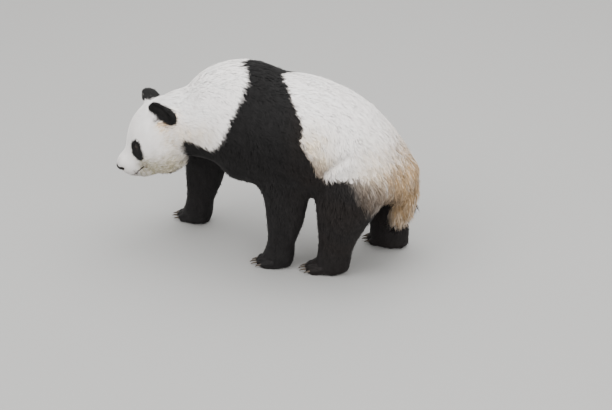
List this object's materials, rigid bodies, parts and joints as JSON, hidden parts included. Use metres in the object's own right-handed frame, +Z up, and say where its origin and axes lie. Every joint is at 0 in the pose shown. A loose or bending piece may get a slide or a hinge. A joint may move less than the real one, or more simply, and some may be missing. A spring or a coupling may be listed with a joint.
{
  "type": "giant panda model",
  "caption": "Life-size still model of a giant panda standing in mid-walk, head lowered, with black ears, eye patches, shoulder band and legs on a white coat.",
  "frame": {"origin": "on the floor, under the middle of the animal's bounding box", "axes": "+X towards the tail, so the animal faces -X; +Y towards its right side; +Z up"},
  "size_m": [1.2718, 0.5403, 0.8441],
  "materials": {
    "white_fur": "dense white coat, cream and brown-stained in places",
    "black_fur": "dense black coat with a faint warm sheen",
    "eye": "wet dark brown eye",
    "nose": "moist pebbled black nose leather",
    "claw": "dark brown horn, worn paler at the tips"
  },
  "bodies": {
    "root": {"head": "white_fur", "neck": "white_fur", "shoulders": "black_fur", "trunk": "white_fur", "tail": "white_fur", "ear_left": "black_fur", "ear_right": "black_fur", "eye_left": "eye", "eye_right": "eye", "nose": "nose", "foreleg_left": "black_fur", "foreleg_right": "black_fur", "hindleg_left": "black_fur", "hindleg_right": "black_fur", "forepaw_left": "black_fur", "forepaw_right": "black_fur", "hindpaw_left": "black_fur", "hindpaw_right": "black_fur", "claw_forepaw_left_1": "claw", "claw_forepaw_left_2": "claw", "claw_forepaw_left_3": "claw", "claw_forepaw_left_4": "claw", "claw_forepaw_left_5": "claw", "claw_forepaw_right_1": "claw", "claw_forepaw_right_2": "claw", "claw_forepaw_right_3": "claw", "claw_forepaw_right_4": "claw", "claw_forepaw_right_5": "claw", "claw_hindpaw_left_1": "claw", "claw_hindpaw_left_2": "claw", "claw_hindpaw_left_3": "claw", "claw_hindpaw_left_4": "claw", "claw_hindpaw_left_5": "claw", "claw_hindpaw_right_1": "claw", "claw_hindpaw_right_2": "claw", "claw_hindpaw_right_3": "claw", "claw_hindpaw_right_4": "claw", "claw_hindpaw_right_5": "claw"}
  },
  "joints": []
}
